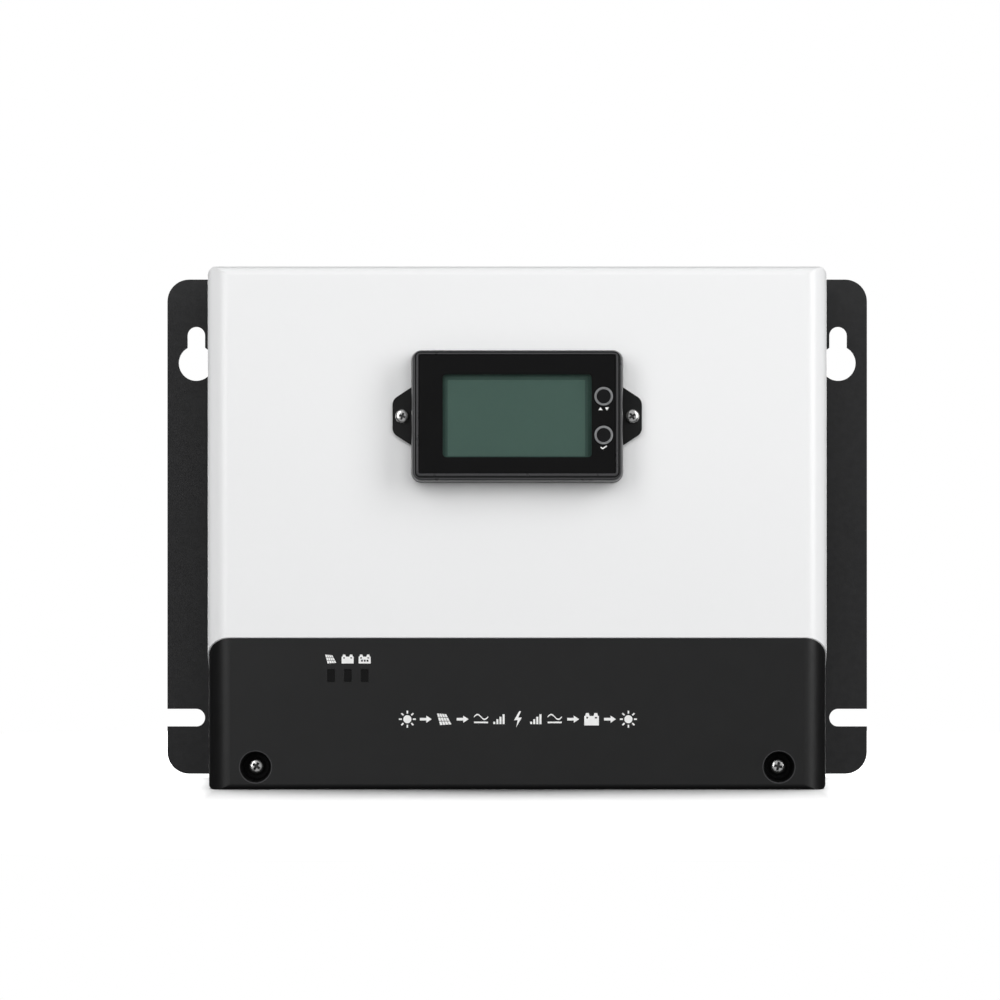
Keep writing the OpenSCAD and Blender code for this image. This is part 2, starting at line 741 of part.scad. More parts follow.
fan_bot = fan_top - fan_t;

module fan_frame(x) difference() {
    union() {
        difference() {
            translate([x - fan_size / 2, fan_y - fan_size / 2, fan_bot]) cube([fan_size, fan_size, fan_t]);
            rod_z(fan_bot - 1, fan_top + 1, x, fan_y, duct_r);
            // Between its end flanges the frame is waisted.
            for (turn = [0, 90, 180, 270])
                translate([x, fan_y, fan_bot + 3]) rotate([0, 0, turn])
                    translate([duct_r + 0.7, -fan_size / 2 + 8, 0]) cube([2, fan_size - 16, fan_t - 6]);
        }
        rod_z(fan_bot, fan_bot + 2.4, x, fan_y, hub_r);
        rod_z(fan_bot, fan_bot + 8, x, fan_y, pin_r);
        for (turn = [20, 110, 200, 290])
            translate([x, fan_y, fan_bot]) rotate([0, 0, turn])
                translate([hub_r - 1, -1.3, 0]) cube([duct_r - hub_r + 1.5, 2.6, 2]);
    }
    for (sx = SIDES, sy = SIDES)
        rod_z(fan_bot - 1, fan_top + 1, x + sx * fan_hole, fan_y + sy * fan_hole, 2.1);
}

module fan_rotor(x) difference() {
    union() {
        rod_z(fan_bot + 2.9, fan_top - 1.5, x, fan_y, hub_r - 0.5);
        for (i = [0 : blade_count - 1])
            intersection() {
                difference() {
                    rod_z(fan_bot + 3.2, fan_top - 2, x, fan_y, duct_r - 0.7);
                    rod_z(fan_bot + 2, fan_top, x, fan_y, hub_r - 1);
                }
                translate([x, fan_y, (fan_bot + fan_top) / 2 + 0.6]) rotate([0, 0, i * 360 / blade_count])
                    rotate([38, 0, 0]) translate([0, -9, -0.6]) cube([fan_size, 18, 1.2]);
            }
    }
    rod_z(fan_bot + 2, fan_bot + 9, x, fan_y, pin_r + 0.05);
    difference() {
        rod_z(fan_bot + 2, fan_top - 5, x, fan_y, hub_r - 2);
        rod_z(fan_bot + 1, fan_top - 4, x, fan_y, 4);
    }
}

module fan_left_frame() color("#151515") fan_frame(-fan_x);
module fan_right_frame() color("#151515") fan_frame(fan_x);
module fan_left_rotor() color("#202020") fan_rotor(-fan_x);
module fan_right_rotor() color("#202020") fan_rotor(fan_x);

// Four screws a fan, down through the top wall. Their heads stand on the wall.
module fan_screws() color("silver") for (s = SIDES, dx = SIDES, dy = SIDES)
    translate([s * fan_x + dx * fan_hole, fan_y + dy * fan_hole, z_top])
        rotate([-90, 0, 0]) pan_screw_y(0, 0, 0, 2.8, 1.6, 1.45, fan_t + wall - 2);

// One lead from each fan down to its socket on the main board.
module fan_leads() color("#202020") for (s = SIDES) {
    start = [s * (fan_x - fan_size / 2 - 0.3), fan_y + 12, fan_bot + 2.5];
    finish = [s * 26, board_front - 3.05, board_top - 12];
    tube(curve(start, start - [s * 8, 0, 0], finish - [0, 10, 0], finish), 1.1);
    block([s * 26 - 3.5, board_front - 3, board_top - 15], [s * 26 + 3.5, board_front, board_top - 9]);
}

// ---------- display ----------

display_radius = 4.5;
display_taper = 1;                        // on each side, from the foot to the bezel
front_w = display_w - 2 * display_taper;
front_h = display_h - 2 * display_taper;

module at_display() translate([0, 0, display_mid]) children();

// One mounting ear, outlined in X and Z.
module ear_outline(side) {
    root = side * (display_w / 2 - 6);
    tip = side * (display_w / 2 + ear_reach);
    offset(r = 4) offset(delta = -4) polygon([
        [root, -ear_root_h / 2],
        [tip, -ear_tip_h / 2],
        [tip, ear_tip_h / 2],
        [root, ear_root_h / 2]
    ]);
}

case_screw_x = display_w / 2 - 6.5;
case_screw_z = display_h / 2 - 5.7;

module display_housing() color("#1b1b1d") at_display() difference() {
    union() {
        hull() {
            along_y(y_front - 0.5, y_front) rounded_rect(display_w, display_h, display_radius, $fn = 32);
            along_y(bezel_back, bezel_back + 0.5)
                rounded_rect(front_w, front_h, display_radius, $fn = 32);
        }
        for (s = SIDES) along_y(y_front - ear_t, y_front) ear_outline(s);
    }
    difference() {
        along_y(bezel_back - 1, housing_floor)
            square([display_w - 8, display_h - 8], center = true);
        for (sx = SIDES, sz = SIDES)
            rod_y(bezel_back + boss_h, y_front, sx * case_screw_x, sz * case_screw_z, 2.6);
    }
    for (sx = SIDES, sz = SIDES) {
        rod_y(bezel_back - 2, bezel_back + boss_h, sx * case_screw_x, sz * case_screw_z, 2.6);
        rod_y(bezel_back - 2, y_front + 1, sx * case_screw_x, sz * case_screw_z, 1.25);
        rod_y(y_front - 3, y_front + 1, sx * case_screw_x, sz * case_screw_z, 2.3);
    }
    for (s = SIDES) rod_y(y_front - ear_t - 1, y_front + 1, s * ear_screw_x, 0, 1.65);
    block([-12, housing_floor - 1, -16], [12, y_front + 1, -6]);
}

module display_case_screws() color("silver") at_display() for (sx = SIDES, sz = SIDES) {
    rod_y(y_front - 2.9, y_front - 1.2, sx * case_screw_x, sz * case_screw_z, 2.1);
    rod_y(bezel_back - 1, y_front - 2.8, sx * case_screw_x, sz * case_screw_z, 1.1);
}

bezel_w = display_w - 2.6;
bezel_h = display_h - 2.6;
overlay_w = display_w - 7.1;
overlay_h = display_h - 6.4;
boss_h = 4;                               // the bezel's screw bosses, behind its back face
pane_x = -0.9;

// The front frame: a chamfered rim around a sunk floor that carries the overlay.
module display_bezel() color("#202022") at_display() difference() {
    union() {
        along_y(face_y + 0.8, bezel_back) rounded_rect(bezel_w, bezel_h, 4, $fn = 32);
        hull() {
            along_y(face_y + 0.7, face_y + 0.8) rounded_rect(bezel_w, bezel_h, 4, $fn = 32);
            along_y(face_y, face_y + 0.1) rounded_rect(bezel_w - 1.6, bezel_h - 1.6, 3.4, $fn = 32);
        }
        for (sx = SIDES, sz = SIDES)
            rod_y(bezel_back - 1, bezel_back + boss_h - 0.1, sx * case_screw_x, sz * case_screw_z, 2.4);
    }
    for (sx = SIDES, sz = SIDES)
        rod_y(bezel_back - 1.2, bezel_back + 9, sx * case_screw_x, sz * case_screw_z, 1.12);
    along_y(face_y - 1, overlay_front + overlay_t)
        square([overlay_w + 0.2, overlay_h + 0.2], center = true);
    along_y(face_y, bezel_back + 1) square([window_w + 2.2, window_h + 2.2], center = true);
    for (s = SIDES) rod_y(face_y, bezel_back + 1, button_x, s * button_dz / 2, button_r + 0.2);
    for (s = SIDES) rod_y(bezel_back - 1, bezel_back + 1, button_x, s * button_dz / 2, button_r + 1);
}

module display_overlay() color("#101011") at_display() difference() {
    along_y(overlay_front, overlay_front + overlay_t - 0.05) square([overlay_w, overlay_h], center = true);
    along_y(face_y, overlay_front + overlay_t + 1) rounded_rect(window_w, window_h, 1.6, $fn = 32);
    for (s = SIDES) rod_y(face_y, overlay_front + 2, button_x, s * button_dz / 2, ring_r + 0.03);
}

module display_lens() color("#9fb0aa") at_display()
    along_y(overlay_front + overlay_t, overlay_front + overlay_t + 1)
        square([window_w + 2, window_h + 2], center = true);

module lcd_panel() color("#5d7f74") at_display()
    along_y(lcd_front, lcd_front + 2.4)
        translate([pane_x, 0]) square([window_w + 3.2, window_h + 6], center = true);

module lcd_backlight() color("#dfe3dc") at_display()
    along_y(lcd_front + 2.4, lcd_front + 5)
        translate([pane_x, 0]) square([window_w + 3.2, window_h + 8], center = true);

module display_board() color("#1d5a34") at_display() {
    difference() {
        along_y(display_board_front, display_board_front + 1.6) square([80, 46.4], center = true);
        for (sx = SIDES, sz = SIDES)
            rod_y(display_board_front - 1, y_front, sx * case_screw_x, sz * case_screw_z, 3);
    }
    block([-9, display_board_front + 1.6 - TINY, -14], [9, y_front - 2.2, -8]);
}

module tact_switches() color("#2b2b2b") at_display() for (s = SIDES) {
    span(about(button_x, 6), [display_board_front - 3, display_board_front], about(s * button_dz / 2, 6));
    rod_y(display_board_front - 3.4, display_board_front - 3 + TINY, button_x, s * button_dz / 2, 1.7);
}

module button_rings() color("#9a9b9d") at_display() for (s = SIDES) difference() {
    rod_y(overlay_front - 0.15, overlay_front + overlay_t - 0.05, button_x, s * button_dz / 2, ring_r);
    rod_y(overlay_front - 1, overlay_front + 2, button_x, s * button_dz / 2, button_r + 0.13);
}

// A push button: domed cap, retaining flange behind the bezel, and a stem towards its switch.
module push_button(z) at_display() {
    rod_y(overlay_front - 0.1, bezel_back - 0.8, button_x, z, button_r);
    translate([button_x, overlay_front - 0.1, z]) rotate([90, 0, 0])
        cylinder(h = 0.2, r1 = button_r, r2 = button_r - 0.3);
    rod_y(bezel_back - 0.9, bezel_back - 0.2, button_x, z, button_r + 0.7);
    rod_y(bezel_back - 0.3, display_board_front - 3.45 - button_travel, button_x, z, 1.6);
}

module select_button() color("#151517") push_button(button_dz / 2);
module enter_button() color("#151517") push_button(-button_dz / 2);

module display_screws() color("silver") for (s = SIDES)
    pan_screw_y(s * ear_screw_x, display_mid, y_front - ear_t, 2.9, 2.3, 1.5, ear_t + wall + 5.5);

module display_nuts() color("silver") for (s = SIDES) difference() {
    hex_y(y_front + wall, y_front + wall + 2.4, s * ear_screw_x, display_mid, 5.5);
    rod_y(y_front, y_front + wall + 4, s * ear_screw_x, display_mid, 1.55);
}

// A flat ribbon from the display's board to the main board, drawn in Y and Z.
module display_cable() color("#8f9296") {
    z0 = display_mid - 11;
    start = [y_front - 2.1, z0];
    finish = [board_front - 4, z0 + 20];
    mid = curve(start, start + [18, 0], finish - [18, 12], finish, 16);
    along_x(-7, 7) polygon(concat(
        [for (p = mid) p + [0, 0.45]],
        [for (i = [len(mid) - 1 : -1 : 0]) mid[i] - [0, 0.45]]
    ));
    block([-9, board_front - 4.5, z0 + 16.6], [9, board_front, z0 + 23.4]);
}

// ---------- terminal cover ----------

module terminal_cover() color("#2b2b2c") difference() {
    union() {
        intersection() {
            difference() {
                case_block(body_w - 2 * cover_inset, y_fins - fit_gap);
                translate([0, 0, z_bot + wall]) linear_extrude(body_h) plan_outline(body_w, wall, 0);
                // The bottom wall stops at the bottom panel.
                block([-inner_w / 2, panel_front - fit_gap, z_bot - 1], [inner_w / 2, 0, z_bot + wall + 1]);
            }
            below_seam(seam_gap / 2);
        }
        for (s = SIDES)
            rod_y(y_front + 1, recess_back, s * cover_screw_x, cover_screw_z, cup_r);
        // Stiffening ribs inside the front wall.
        for (x = [-92, -30, 30, 92])
            block([x - 0.8, y_front + 1, z_bot + 1], [x + 0.8, y_front + wall + 3, lip_bot - 2]);
    }
    for (s = SIDES) {
        translate([s * cover_screw_x, recess_floor, cover_screw_z]) rotate([90, 0, 0])
            cylinder(h = recess_depth + TINY, r1 = recess_d / 2 - 1.4, r2 = recess_d / 2);
        rod_y(y_front, 0, s * cover_screw_x, cover_screw_z, 2.3);
    }
    for (i = [0 : LEDS - 1])
        block([led_at(i) - led_w / 2 - 0.05, y_front - 1, led_z - led_h / 2 - 0.05],
            [led_at(i) + led_w / 2 + 0.05, y_front + wall + 1, led_z + led_h / 2 + 0.05]);
}

module cover_screws() color("silver") for (s = SIDES)
    pan_screw_y(s * cover_screw_x, cover_screw_z, recess_floor, 3.7, 2.8, 1.98, 13);

module light_pipes() color("#101010") for (i = [0 : LEDS - 1]) {
    x = led_at(i);
    span(about(x, led_w), [y_front + 0.25, y_front + wall], about(led_z, led_h));
    span(about(x, led_w + 1.4), [y_front + wall, y_front + wall + 1], about(led_z, led_h + 1.4));
    span(about(x, led_w - 0.4), [y_front + wall, led_board_y - 2.3], about(led_z, led_h - 0.8));
}

// ---------- nodes ----------

mounting_plate();
heat_sink();
heat_sink_fins();
plate_screws();
front_shell();
shell_screws();
bottom_panel();
bottom_panel_screws();
bay_divider();
divider_screws();
main_board();
board_standoffs();
board_screws();
mosfets();
thermal_pads();
inductor_cores();
inductor_windings();
pv_capacitors();
battery_capacitors();
bus_bars();
blade_fuses();
current_shunt();
supply_transformer();
control_board();
terminal_block();
terminal_partitions();
terminal_face();
terminal_clamps();
terminal_screws();
comm_port();
sensor_connector();
relay_connector();
earth_terminal();
led_board();
indicator_leds();
cover_posts();
fan_left_frame();
fan_right_frame();
fan_left_rotor();
fan_right_rotor();
fan_screws();
fan_leads();
display_housing();
display_bezel();
display_overlay();
display_lens();
lcd_panel();
lcd_backlight();
display_board();
tact_switches();
button_rings();
select_button();
enter_button();
display_case_screws();
display_screws();
display_nuts();
display_cable();
terminal_cover();
cover_screws();
light_pipes();
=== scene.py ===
import json
import math

import bmesh
import bpy
from mathutils import Matrix, Vector


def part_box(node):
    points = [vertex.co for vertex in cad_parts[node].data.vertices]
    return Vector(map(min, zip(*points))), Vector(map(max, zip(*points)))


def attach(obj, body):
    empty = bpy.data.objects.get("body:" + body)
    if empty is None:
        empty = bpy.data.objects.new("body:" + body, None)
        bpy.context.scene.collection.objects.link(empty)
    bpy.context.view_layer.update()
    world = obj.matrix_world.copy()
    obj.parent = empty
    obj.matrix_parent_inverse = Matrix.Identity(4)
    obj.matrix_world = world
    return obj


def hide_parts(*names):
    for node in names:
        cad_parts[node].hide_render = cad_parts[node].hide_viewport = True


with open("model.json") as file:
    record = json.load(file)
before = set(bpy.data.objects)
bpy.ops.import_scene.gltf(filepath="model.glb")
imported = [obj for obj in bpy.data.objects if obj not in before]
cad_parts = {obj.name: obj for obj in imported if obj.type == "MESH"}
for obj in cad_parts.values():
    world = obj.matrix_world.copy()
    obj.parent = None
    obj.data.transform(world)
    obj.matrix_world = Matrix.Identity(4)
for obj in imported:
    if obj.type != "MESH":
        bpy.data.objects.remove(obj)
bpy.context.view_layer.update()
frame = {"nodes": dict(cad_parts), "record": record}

MM = 0.001                                               # sizes here are in mm where no comment says m
SIDES = (-1, 1)
ALONG_Y = Matrix.Rotation(math.radians(90), 4, "X")      # turns a shape made along +Z to face the front, -Y
SMOOTH_UP_TO = math.radians(35)                          # faces that meet at a wider angle keep a sharp edge
WELD_WITHIN = 1e-6                                       # m, for points that lie on each other

# ---------- where the CAD says things are ----------


def box_mm(node):
    """The low and high corners of a CAD node's box, in mm."""
    return [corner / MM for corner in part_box(node)]


def centre(node):
    """The middle of a CAD node's box, in mm."""
    low, high = box_mm(node)
    return (low + high) / 2


SHELL_LOW, SHELL_HIGH = box_mm("front_shell")
COVER_LOW = box_mm("terminal_cover")[0]
DISPLAY = centre("display_lens")
BUTTONS = {name: centre(name) for name in ("select_button", "enter_button")}

# ---------- camera, floor and light ----------

CAMERA_DISTANCE = 1.9            # m, from the case's front face
VIEW_WIDTH = 0.437               # m of the front plane that the picture shows
CAMERA_SHIFT = (-0.0172, 0.028)  # shares of the picture's width
SENSOR = 36.0
FAR_CLIP = 60                    # m
FLOOR_RADIUS = 500
GLOW_BAND = (-4, 12)             # the floor starts to glow and is white, in mm past the case's side
CEILING_POWER = 4.7
CEILING_SIZE = 34                # degrees across
CEILING_TILT = (-8, 2)           # degrees about X and Y

# Name, azimuth and elevation in degrees, distance and (width, height) in m, power, seen in reflections
SOFTBOXES = (
    ("box_left", -31, 20, 1.7, (0.7, 1.5), 9.5, True),
    ("box_right", 48, 20, 1.7, (0.8, 1.5), 14.0, True),
    ("box_front", 4, 16, 2.6, (1.6, 1.4), 24.0, False),
    ("fill_left", -105, 8, 1.7, (1.0, 1.0), 13.0, False),
    ("fill_right", 105, 8, 1.7, (1.0, 1.0), 9.5, False),
    ("box_behind", 180, -8, 1.8, (1.6, 1.0), 15.0, True),
)

# The room in reflections: strengths at the start and end of a ramp, and where on the axis it starts and ends
ROOM_FRONT = (0.36, 0.03, -0.95, -0.5)
ROOM_ABOVE = (0.0, 0.3, 0.35, 0.95)


def add_object(name, data):
    made = bpy.data.objects.new(name, data)
    bpy.context.collection.objects.link(made)
    return made


def add_camera():
    """Straight in front, with a long lens."""
    data = bpy.data.cameras.new("camera")
    data.sensor_width = SENSOR
    data.lens = SENSOR * CAMERA_DISTANCE / VIEW_WIDTH
    data.shift_x, data.shift_y = CAMERA_SHIFT
    data.clip_end = FAR_CLIP
    camera = add_object("camera", data)
    middle_z = (COVER_LOW.z + SHELL_HIGH.z) / 2 * MM
    camera.location = (0, SHELL_LOW.y * MM - CAMERA_DISTANCE, middle_z)
    camera.rotation_euler = (math.radians(90), 0, 0)
    bpy.context.scene.camera = camera


def floor_paper():
    """Pale paper that glows past the case's sides, and is clear from below."""
    paper = surface("floor_paper", (0.66, 0.66, 0.66), 0.9, specular=0.1, tint=0.01, grain_um=0,
                    emission_color=(1, 1, 1, 1))
    tree = paper.node_tree
    shader = tree.nodes["Principled BSDF"]
    coords = make(tree, "ShaderNodeTexCoord").outputs["Object"]
    across = make(tree, "ShaderNodeSeparateXYZ", {0: coords}).outputs["X"]
    away = make(tree, "ShaderNodeMath", {0: across}, operation="ABSOLUTE").outputs[0]
    start, full = ((SHELL_HIGH.x + past) * MM for past in GLOW_BAND)
    tree.links.new(spread(tree, away, 0.0, 1.0, start, full), shader.inputs["Emission Strength"])
    underside = make(tree, "ShaderNodeNewGeometry").outputs["Backfacing"]
    solid = make(tree, "ShaderNodeMath", {0: 1.0, 1: underside}, operation="SUBTRACT").outputs[0]
    tree.links.new(solid, shader.inputs["Alpha"])
    return paper


def add_floor():
    """A round floor that carries the shadow in front of the case."""
    bm = bmesh.new()
    bmesh.ops.create_circle(bm, cap_ends=True, segments=96, radius=FLOOR_RADIUS * MM)
    floor = piece_from("floor", bm, floor_paper())
    floor.location = (0, 0, COVER_LOW.z * MM)
    floor.visible_glossy = False
    floor.visible_diffuse = False
    floor.visible_shadow = False
    return floor


def add_softbox(name, azimuth, elevation, distance, size, power):
    """A panel light that faces the object. Azimuth 0 is straight in front, and positive is to the right."""
    turn, lift = math.radians(azimuth), math.radians(elevation)
    away = Vector((math.sin(turn) * math.cos(lift), -math.cos(turn) * math.cos(lift), math.sin(lift)))
    data = bpy.data.lights.new(name, "AREA")
    data.shape = "RECTANGLE"
    data.size, data.size_y = size
    data.energy = power
    light = add_object(name, data)
    light.location = Vector((0, SHELL_LOW.y * MM, 0)) + away * distance
    light.rotation_euler = away.to_track_quat("Z", "Y").to_euler()
    light.visible_camera = False
    return light


def add_ceiling():
    """A wide soft sun, a little behind the object."""
    data = bpy.data.lights.new("ceiling", "SUN")
    data.energy = CEILING_POWER
    data.angle = math.radians(CEILING_SIZE)
    ceiling = add_object("ceiling", data)
    ceiling.rotation_euler = (math.radians(CEILING_TILT[0]), math.radians(CEILING_TILT[1]), 0)
    return ceiling


def add_lights():
    """The ceiling lights only the floor, and the softboxes light only the object. All cast its shadow."""
    floor = add_floor()
    floor_only = bpy.data.collections.new("floor_only")
    floor_only.objects.link(floor)
    object_only = bpy.data.collections.new("object_only")
    object_only.objects.link(floor)
    object_only.collection_objects[0].light_linking.link_state = "EXCLUDE"
    add_ceiling().light_linking.receiver_collection = floor_only
    for *box, in_reflections in SOFTBOXES:
        light = add_softbox(*box)
        light.visible_glossy = in_reflections
        light.light_linking.receiver_collection = object_only


def add_world():
    """White to look at. Elsewhere it is a dim room: brighter overhead and in front, dark at the sides."""
    world = bpy.data.worlds.new("studio")
    world.use_nodes = True
    tree = world.node_tree
    tree.nodes.clear()
    way = make(tree, "ShaderNodeTexCoord").outputs["Generated"]
    axes = make(tree, "ShaderNodeSeparateXYZ", {0: way}).outputs
    front = spread(tree, axes["Y"], *ROOM_FRONT)
    above = spread(tree, axes["Z"], *ROOM_ABOVE)
    glow = make(tree, "ShaderNodeMath", {0: front, 1: above}, operation="ADD").outputs[0]
    seen = make(tree, "ShaderNodeBackground", {"Color": (1, 1, 1, 1), "Strength": 1.0}).outputs[0]
    room = make(tree, "ShaderNodeBackground", {"Color": (0.98, 0.99, 1.0, 1), "Strength": glow}).outputs[0]
    by_eye = make(tree, "ShaderNodeLightPath").outputs["Is Camera Ray"]
    mix = make(tree, "ShaderNodeMixShader", {0: by_eye, 1: room, 2: seen}).outputs[0]
    make(tree, "ShaderNodeOutputWorld", {"Surface": mix})
    bpy.context.scene.world = world


# ---------- outlines in the front view, as loops of (x, z) points in mm ----------

def rounded(half_w, half_h, radius, at=(0, 0), steps=8):
    """A rounded rectangle."""
    loop = []
    for corner, (sx, sz) in enumerate(((1, 1), (-1, 1), (-1, -1), (1, -1))):
        for step in range(steps + 1):
            angle = math.radians(90 * (corner + step / steps))
            loop.append((at[0] + sx * (half_w - radius) + radius * math.cos(angle),
                         at[1] + sz * (half_h - radius) + radius * math.sin(angle)))
    return loop


def disc(x, z, radius, steps=40):
    """A circle."""
    turns = (2 * math.pi * step / steps for step in range(steps))
    return [(x + radius * math.cos(turn), z + radius * math.sin(turn)) for turn in turns]


def box_loop(x0, x1, z0, z1):
    """An upright rectangle."""
    return [(x0, z0), (x1, z0), (x1, z1), (x0, z1)]


def line_loop(start, end, width):
    """A straight stroke of a given width."""
    (x0, z0), (x1, z1) = start, end
    length = math.hypot(x1 - x0, z1 - z0)
    nx, nz = -(z1 - z0) / length * width / 2, (x1 - x0) / length * width / 2
    return [(x0 + nx, z0 + nz), (x0 - nx, z0 - nz), (x1 - nx, z1 - nz), (x1 + nx, z1 + nz)]


# ---------- mesh helpers ----------

def smooth(mesh):
    """Smooth shading, with the sharp edges kept."""
    mesh.shade_smooth()
    mesh.set_sharp_from_angle(angle=SMOOTH_UP_TO)


def piece_from(name, bm, material):
    """An object made from a bmesh, in the shared frame."""
    mesh = bpy.data.meshes.new(name)
    bmesh.ops.recalc_face_normals(bm, faces=bm.faces)
    bm.to_mesh(mesh)
    bm.free()
    mesh.materials.append(material)
    smooth(mesh)
    return add_object(name, mesh)


def plate(name, loops, y_front, y_back, material):
    """A flat piece seen from the front: its loops are outlines and, inside them, holes."""
    curve = bpy.data.curves.new(name, "CURVE")
    curve.dimensions = "2D"
    curve.fill_mode = "BOTH"
    curve.extrude = (y_back - y_front) / 2 * MM
    for loop in loops:
        spline = curve.splines.new("POLY")
        spline.points.add(len(loop) - 1)
        for point, (x, z) in zip(spline.points, loop):
            point.co = (x * MM, z * MM, 0, 1)
        spline.use_cyclic_u = True
    holder = add_object(name, curve)
    mesh = bpy.data.meshes.new_from_object(holder.evaluated_get(bpy.context.evaluated_depsgraph_get()))
    bpy.data.objects.remove(holder)
    mesh.transform(Matrix.Translation((0, (y_front + y_back) / 2 * MM, 0)) @ ALONG_Y)
    bm = bmesh.new()
    bm.from_mesh(mesh)
    bmesh.ops.remove_doubles(bm, verts=bm.verts, dist=WELD_WITHIN)
    bpy.data.meshes.remove(mesh)
    return piece_from(name, bm, material)


def sweep(name, sections, material, closed=True):
    """A skin through matching (loop, y) sections in mm. Closed joins the last to the first, for a ring."""
    bm = bmesh.new()
    rows = [[bm.verts.new((x * MM, y * MM, z * MM)) for x, z in loop] for loop, y in sections]
    for low, high in zip(rows, rows[1:] + rows[:1] if closed else rows[1:]):
        for i in range(len(low)):
            j = (i + 1) % len(low)
            bm.faces.new((low[i], low[j], high[j], high[i]))
    if not closed:
        bm.faces.new(rows[0])
        bm.faces.new(rows[-1])
    return piece_from(name, bm, material)


def turned(name, x, z, profile, material, y=0, closed=False, steps=48):
    """A turned piece about a line along Y. Its profile is (radius, depth behind y) in mm."""
    sections = [(disc(x, z, radius, steps), y + depth) for radius, depth in profile]
    return sweep(name, sections, material, closed)


def carve(target, cutters):
    """Cuts some pieces out of another for good."""
    for cutter in cutters:
        target.modifiers.new("cut", "BOOLEAN").object = cutter
    bpy.context.view_layer.update()
    mesh = bpy.data.meshes.new_from_object(target.evaluated_get(bpy.context.evaluated_depsgraph_get()))
    target.modifiers.clear()
    target.data = mesh
    smooth(mesh)
    for cutter in cutters:
        bpy.data.objects.remove(cutter)


def settle(piece, body, slot, *replaced):
    """Puts a piece on its body, in place of any CAD nodes named. The slot is not used."""
    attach(piece, body)
    if replaced:
        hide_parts(*replaced)


# ---------- material helpers ----------

def make(tree, kind, values=None, **props):
    """Adds a shader node. A value that is a socket is linked, and any other is set."""
    made = tree.nodes.new(kind)
    for key, value in props.items():
        setattr(made, key, value)
    for key, value in (values or {}).items():
        if isinstance(value, bpy.types.NodeSocket):
            tree.links.new(value, made.inputs[key])
        else:
            made.inputs[key].default_value = value
    return made


def noise(tree, coords, size_mm, detail):
    """Soft noise with features of about size_mm."""
    return make(tree, "ShaderNodeTexNoise",
                {"Vector": coords, "Scale": 1000 / size_mm, "Detail": detail}).outputs["Fac"]


def spread(tree, value, low, high, from_low=0.3, from_high=0.7):
    """Stretches a socket's values from one range to another."""
    return make(tree, "ShaderNodeMapRange", {
        "Value": value, "From Min": from_low, "From Max": from_high, "To Min": low, "To Max": high,
    }).outputs[0]


def blend(tree, factor, first, second):
    """One colour where the factor is 0, and another where it is 1."""
    return make(tree, "ShaderNodeMixRGB", {"Fac": factor, "Color1": first, "Color2": second}).outputs[0]


def shade(color, factor):
    """A colour made darker or lighter."""
    return (*(min(1.0, max(0.0, c * factor)) for c in color[:3]), 1.0)


def surface(name, color, rough, metal=0.0, specular=0.5, tint=0.06, tint_mm=45, grain_mm=0.6, grain_um=8,
            rough_spread=0.03, stretch=(1, 1, 1), **sockets):
    """A material with slow colour changes, patchy roughness and a fine grain in its bump.

    tint is how far the colour strays, as a share, over tint_mm. The grain is grain_um high and grain_mm wide.
    """
    material = bpy.data.materials.new(name)
    material.use_nodes = True
    tree = material.node_tree
    shader = tree.nodes["Principled BSDF"]
    coords = make(tree, "ShaderNodeTexCoord").outputs["Object"]
    stretched = make(tree, "ShaderNodeMapping", {"Vector": coords, "Scale": stretch}).outputs[0]
    slow = spread(tree, noise(tree, coords, tint_mm, 3), 0, 1)
    tinted = blend(tree, slow, shade(color, 1 - tint), shade(color, 1 + tint))
    tree.links.new(tinted, shader.inputs["Base Color"])
    patches = spread(tree, noise(tree, stretched, tint_mm / 6, 4), rough - rough_spread, rough + rough_spread)
    tree.links.new(patches, shader.inputs["Roughness"])
    if grain_um:
        grain = noise(tree, stretched, grain_mm, 3)
        bump = make(tree, "ShaderNodeBump", {"Height": grain, "Strength": 1.0, "Distance": grain_um * 1e-6})
        tree.links.new(bump.outputs[0], shader.inputs["Normal"])
    shader.inputs["Metallic"].default_value = metal
    shader.inputs["Specular IOR Level"].default_value = specular
    for key, value in sockets.items():
        shader.inputs[key.replace("_", " ").title()].default_value = value
    material.diffuse_color = (*color[:3], 1)
    return material


TRACK_CELLS = 130.0        # per metre: square patches of tracks
TRACKS_PER_CELL = 9.0
TRACK_GAP = 0.55           # share of the pitch that is bare mask
PAD_CELLS = 210.0          # per metre
PAD_RADIUS = 0.16          # share of a cell
PAD_TIN = (0.55, 0.53, 0.48, 1)


def circuit_board(name, mask, trace):
    """Solder mask over copper: fine straight traces and round pads show through it."""
    material = surface(name, mask, 0.38, specular=0.45, tint=0.1, grain_mm=1.5, grain_um=6)
    tree = material.node_tree
    coords = make(tree, "ShaderNodeTexCoord").outputs["Object"]
    cells = make(tree, "ShaderNodeTexVoronoi", {"Vector": coords, "Scale": TRACK_CELLS},
                 distance="CHEBYCHEV", feature="F1").outputs["Distance"]
    lines = make(tree, "ShaderNodeMath", {0: cells, 1: TRACKS_PER_CELL}, operation="MULTIPLY").outputs[0]
    rings = make(tree, "ShaderNodeMath", {0: lines}, operation="FRACT").outputs[0]
    track = make(tree, "ShaderNodeMath", {0: rings, 1: TRACK_GAP}, operation="GREATER_THAN").outputs[0]
    spots = make(tree, "ShaderNodeTexVoronoi", {"Vector": coords, "Scale": PAD_CELLS},
                 feature="F1").outputs["Distance"]
    pad = make(tree, "ShaderNodeMath", {0: spots, 1: PAD_RADIUS}, operation="LESS_THAN").outputs[0]
    with_tracks = blend(tree, track, shade(mask, 1.0), (*trace, 1))
    with_pads = blend(tree, pad, with_tracks, PAD_TIN)
    tree.links.new(with_pads, tree.nodes["Principled BSDF"].inputs["Base Color"])
    return material


def clear_window(name):
    """Thin tinted glass that the LCD shows through."""
    material = surface(name, (0.012, 0.016, 0.014), 0.12, specular=0.3, tint=0.0, grain_um=0,
                       rough_spread=0.01, alpha=0.12)
    material.blend_method = "BLEND"
    return material


